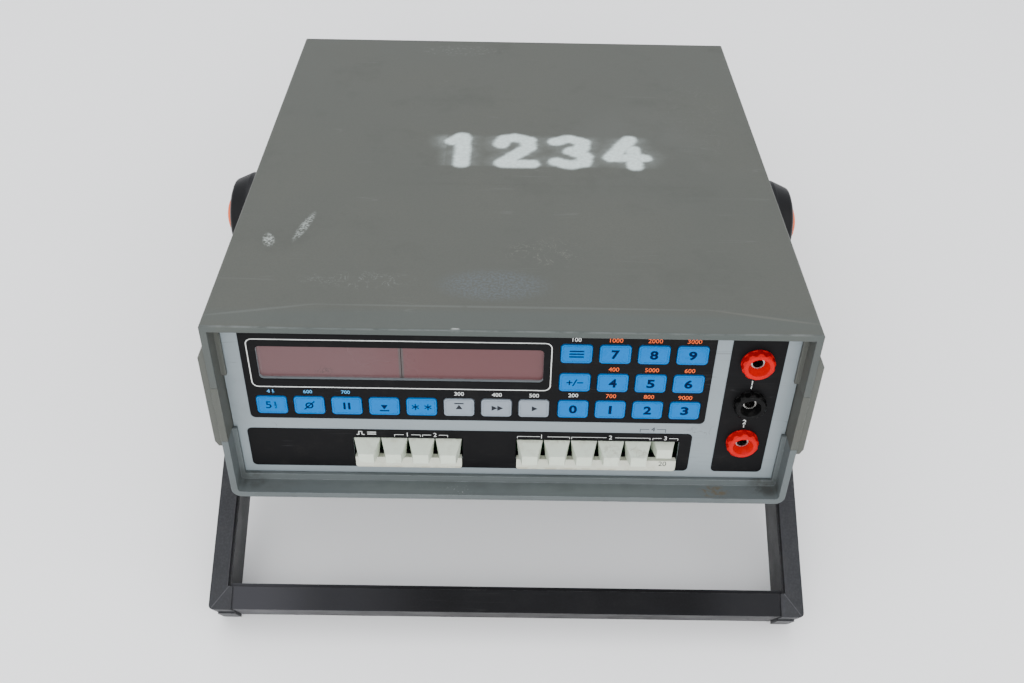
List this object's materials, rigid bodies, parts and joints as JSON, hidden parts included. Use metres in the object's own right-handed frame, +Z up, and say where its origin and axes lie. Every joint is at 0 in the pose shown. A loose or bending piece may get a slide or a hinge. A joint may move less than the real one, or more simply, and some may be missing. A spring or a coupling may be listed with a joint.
{
  "type": "bench multimeter",
  "caption": "Bench multimeter in a grey plastic case with recessed front panel, membrane keys, latching push-buttons, safety terminals and a tilting handle.",
  "frame": {"origin": "centre of the bounding box at the bench surface, with the case tipped up on its handle", "axes": "+X to the right seen from the front, +Y to the back, +Z up"},
  "size_m": [0.2676, 0.2922, 0.1395],
  "materials": {
    "case_grey": "fine-grained moulded plastic, scuffed",
    "rail_grey": "moulded plastic, slightly yellowed",
    "panel_grey": "satin light grey sheet",
    "print_black": "satin printed film",
    "window_red": "smooth tinted acrylic",
    "key_blue": "satin film key",
    "key_grey": "satin film key",
    "button_ivory": "satin moulded",
    "plate_ivory": "satin moulded",
    "bank_black": "moulded",
    "terminal_red": "moulded",
    "terminal_black": "moulded",
    "socket_metal": "nickel plated",
    "nut_brass": "turned",
    "board_green": "glass-fibre board",
    "digit_black": "moulded",
    "core_steel": "laminated and varnished",
    "inlet_black": "moulded",
    "rocker_black": "moulded",
    "handle_charcoal": "satin moulded",
    "cover_black": "moulded",
    "bar_black": "satin black on aluminium",
    "release_orange": "moulded",
    "spring_steel": "plain",
    "foot_rubber": "moulded",
    "screw_steel": "zinc plated"
  },
  "bodies": {
    "case": {"bottom_cover": "case_grey", "top_cover": "case_grey", "side_rail_left": "rail_grey", "side_rail_right": "rail_grey", "front_panel": "panel_grey", "rear_panel": "panel_grey", "panel_labels": "print_black", "display_filters": "window_red", "button_plates": "plate_ivory", "switch_banks": "bank_black", "current_terminal": "terminal_red", "voltage_terminal": "terminal_red", "common_terminal": "terminal_black", "terminal_sockets": "socket_metal", "terminal_nuts": "nut_brass", "main_board": "board_green", "display_board": "board_green", "digit_displays": "digit_black", "transformer": "core_steel", "mains_inlet": "inlet_black", "rubber_feet": "foot_rubber", "case_screws": "screw_steel"},
    "handle": {"handle_arm_left": "handle_charcoal", "handle_arm_right": "handle_charcoal", "handle_bar": "bar_black", "arm_covers": "cover_black", "release_springs": "spring_steel"},
    "function_key_1": {"function_key_1": "key_blue"},
    "function_key_2": {"function_key_2": "key_blue"},
    "function_key_3": {"function_key_3": "key_blue"},
    "function_key_4": {"function_key_4": "key_blue"},
    "function_key_5": {"function_key_5": "key_blue"},
    "function_key_6": {"function_key_6": "key_grey"},
    "function_key_7": {"function_key_7": "key_grey"},
    "function_key_8": {"function_key_8": "key_grey"},
    "reading_key": {"reading_key": "key_blue"},
    "number_key_7": {"number_key_7": "key_blue"},
    "number_key_8": {"number_key_8": "key_blue"},
    "number_key_9": {"number_key_9": "key_blue"},
    "sign_key": {"sign_key": "key_blue"},
    "number_key_4": {"number_key_4": "key_blue"},
    "number_key_5": {"number_key_5": "key_blue"},
    "number_key_6": {"number_key_6": "key_blue"},
    "number_key_0": {"number_key_0": "key_blue"},
    "number_key_1": {"number_key_1": "key_blue"},
    "number_key_2": {"number_key_2": "key_blue"},
    "number_key_3": {"number_key_3": "key_blue"},
    "function_button_1": {"function_button_1": "button_ivory"},
    "function_button_2": {"function_button_2": "button_ivory"},
    "function_button_3": {"function_button_3": "button_ivory"},
    "function_button_4": {"function_button_4": "button_ivory"},
    "range_button_1": {"range_button_1": "button_ivory"},
    "range_button_2": {"range_button_2": "button_ivory"},
    "range_button_3": {"range_button_3": "button_ivory"},
    "range_button_4": {"range_button_4": "button_ivory"},
    "range_button_5": {"range_button_5": "button_ivory"},
    "range_button_6": {"range_button_6": "button_ivory"},
    "power_rocker": {"power_rocker": "rocker_black"},
    "release_button_left": {"release_button_left": "release_orange"},
    "release_button_right": {"release_button_right": "release_orange"}
  },
  "joints": [
    {"name": "handle_tilt", "type": "hinge", "parent": "case", "child": "handle", "pos_m": [0, 0.03078, 0.06988], "axis": [1, 0, 0], "range_deg": [-211.5, 58.5]},
    {"name": "release_left_press", "type": "slide", "parent": "handle", "child": "release_button_left", "axis": [1, 0, 0], "range_m": [0, 0.0025], "stiffness_N_per_m": 2500},
    {"name": "release_right_press", "type": "slide", "parent": "handle", "child": "release_button_right", "axis": [-1, 0, 0], "range_m": [0, 0.0025], "stiffness_N_per_m": 2500},
    {"name": "function_key_1_press", "type": "slide", "parent": "case", "child": "function_key_1", "axis": [0, 0.9765, -0.2154], "range_m": [0, 0.0006], "stiffness_N_per_m": 2500},
    {"name": "function_key_2_press", "type": "slide", "parent": "case", "child": "function_key_2", "axis": [0, 0.9765, -0.2154], "range_m": [0, 0.0006], "stiffness_N_per_m": 2500},
    {"name": "function_key_3_press", "type": "slide", "parent": "case", "child": "function_key_3", "axis": [0, 0.9765, -0.2154], "range_m": [0, 0.0006], "stiffness_N_per_m": 2500},
    {"name": "function_key_4_press", "type": "slide", "parent": "case", "child": "function_key_4", "axis": [0, 0.9765, -0.2154], "range_m": [0, 0.0006], "stiffness_N_per_m": 2500},
    {"name": "function_key_5_press", "type": "slide", "parent": "case", "child": "function_key_5", "axis": [0, 0.9765, -0.2154], "range_m": [0, 0.0006], "stiffness_N_per_m": 2500},
    {"name": "function_key_6_press", "type": "slide", "parent": "case", "child": "function_key_6", "axis": [0, 0.9765, -0.2154], "range_m": [0, 0.0006], "stiffness_N_per_m": 2500},
    {"name": "function_key_7_press", "type": "slide", "parent": "case", "child": "function_key_7", "axis": [0, 0.9765, -0.2154], "range_m": [0, 0.0006], "stiffness_N_per_m": 2500},
    {"name": "function_key_8_press", "type": "slide", "parent": "case", "child": "function_key_8", "axis": [0, 0.9765, -0.2154], "range_m": [0, 0.0006], "stiffness_N_per_m": 2500},
    {"name": "reading_key_press", "type": "slide", "parent": "case", "child": "reading_key", "axis": [0, 0.9765, -0.2154], "range_m": [0, 0.0006], "stiffness_N_per_m": 2500},
    {"name": "number_key_7_press", "type": "slide", "parent": "case", "child": "number_key_7", "axis": [0, 0.9765, -0.2154], "range_m": [0, 0.0006], "stiffness_N_per_m": 2500},
    {"name": "number_key_8_press", "type": "slide", "parent": "case", "child": "number_key_8", "axis": [0, 0.9765, -0.2154], "range_m": [0, 0.0006], "stiffness_N_per_m": 2500},
    {"name": "number_key_9_press", "type": "slide", "parent": "case", "child": "number_key_9", "axis": [0, 0.9765, -0.2154], "range_m": [0, 0.0006], "stiffness_N_per_m": 2500},
    {"name": "sign_key_press", "type": "slide", "parent": "case", "child": "sign_key", "axis": [0, 0.9765, -0.2154], "range_m": [0, 0.0006], "stiffness_N_per_m": 2500},
    {"name": "number_key_4_press", "type": "slide", "parent": "case", "child": "number_key_4", "axis": [0, 0.9765, -0.2154], "range_m": [0, 0.0006], "stiffness_N_per_m": 2500},
    {"name": "number_key_5_press", "type": "slide", "parent": "case", "child": "number_key_5", "axis": [0, 0.9765, -0.2154], "range_m": [0, 0.0006], "stiffness_N_per_m": 2500},
    {"name": "number_key_6_press", "type": "slide", "parent": "case", "child": "number_key_6", "axis": [0, 0.9765, -0.2154], "range_m": [0, 0.0006], "stiffness_N_per_m": 2500},
    {"name": "number_key_0_press", "type": "slide", "parent": "case", "child": "number_key_0", "axis": [0, 0.9765, -0.2154], "range_m": [0, 0.0006], "stiffness_N_per_m": 2500},
    {"name": "number_key_1_press", "type": "slide", "parent": "case", "child": "number_key_1", "axis": [0, 0.9765, -0.2154], "range_m": [0, 0.0006], "stiffness_N_per_m": 2500},
    {"name": "number_key_2_press", "type": "slide", "parent": "case", "child": "number_key_2", "axis": [0, 0.9765, -0.2154], "range_m": [0, 0.0006], "stiffness_N_per_m": 2500},
    {"name": "number_key_3_press", "type": "slide", "parent": "case", "child": "number_key_3", "axis": [0, 0.9765, -0.2154], "range_m": [0, 0.0006], "stiffness_N_per_m": 2500},
    {"name": "function_button_1_press", "type": "slide", "parent": "case", "child": "function_button_1", "axis": [0, 0.9765, -0.2154], "range_m": [0, 0.0048]},
    {"name": "function_button_2_press", "type": "slide", "parent": "case", "child": "function_button_2", "axis": [0, 0.9765, -0.2154], "range_m": [0, 0.0048]},
    {"name": "function_button_3_press", "type": "slide", "parent": "case", "child": "function_button_3", "axis": [0, 0.9765, -0.2154], "range_m": [0, 0.0048]},
    {"name": "function_button_4_press", "type": "slide", "parent": "case", "child": "function_button_4", "axis": [0, 0.9765, -0.2154], "range_m": [0, 0.0048]},
    {"name": "range_button_1_press", "type": "slide", "parent": "case", "child": "range_button_1", "axis": [0, 0.9765, -0.2154], "range_m": [0, 0.0048]},
    {"name": "range_button_2_press", "type": "slide", "parent": "case", "child": "range_button_2", "axis": [0, 0.9765, -0.2154], "range_m": [0, 0.0048]},
    {"name": "range_button_3_press", "type": "slide", "parent": "case", "child": "range_button_3", "axis": [0, 0.9765, -0.2154], "range_m": [0, 0.0048]},
    {"name": "range_button_4_press", "type": "slide", "parent": "case", "child": "range_button_4", "axis": [0, 0.9765, -0.2154], "range_m": [0, 0.0048]},
    {"name": "range_button_5_press", "type": "slide", "parent": "case", "child": "range_button_5", "axis": [0, 0.9765, -0.2154], "range_m": [0, 0.0048]},
    {"name": "range_button_6_press", "type": "slide", "parent": "case", "child": "range_button_6", "axis": [0, 0.9765, -0.2154], "range_m": [-0.0048, 0]},
    {"name": "power_rocker_tilt", "type": "hinge", "parent": "case", "child": "power_rocker", "pos_m": [-0.0425, 0.12732, 0.04654], "axis": [1, 0, 0], "range_deg": [0, 16]}
  ]
}
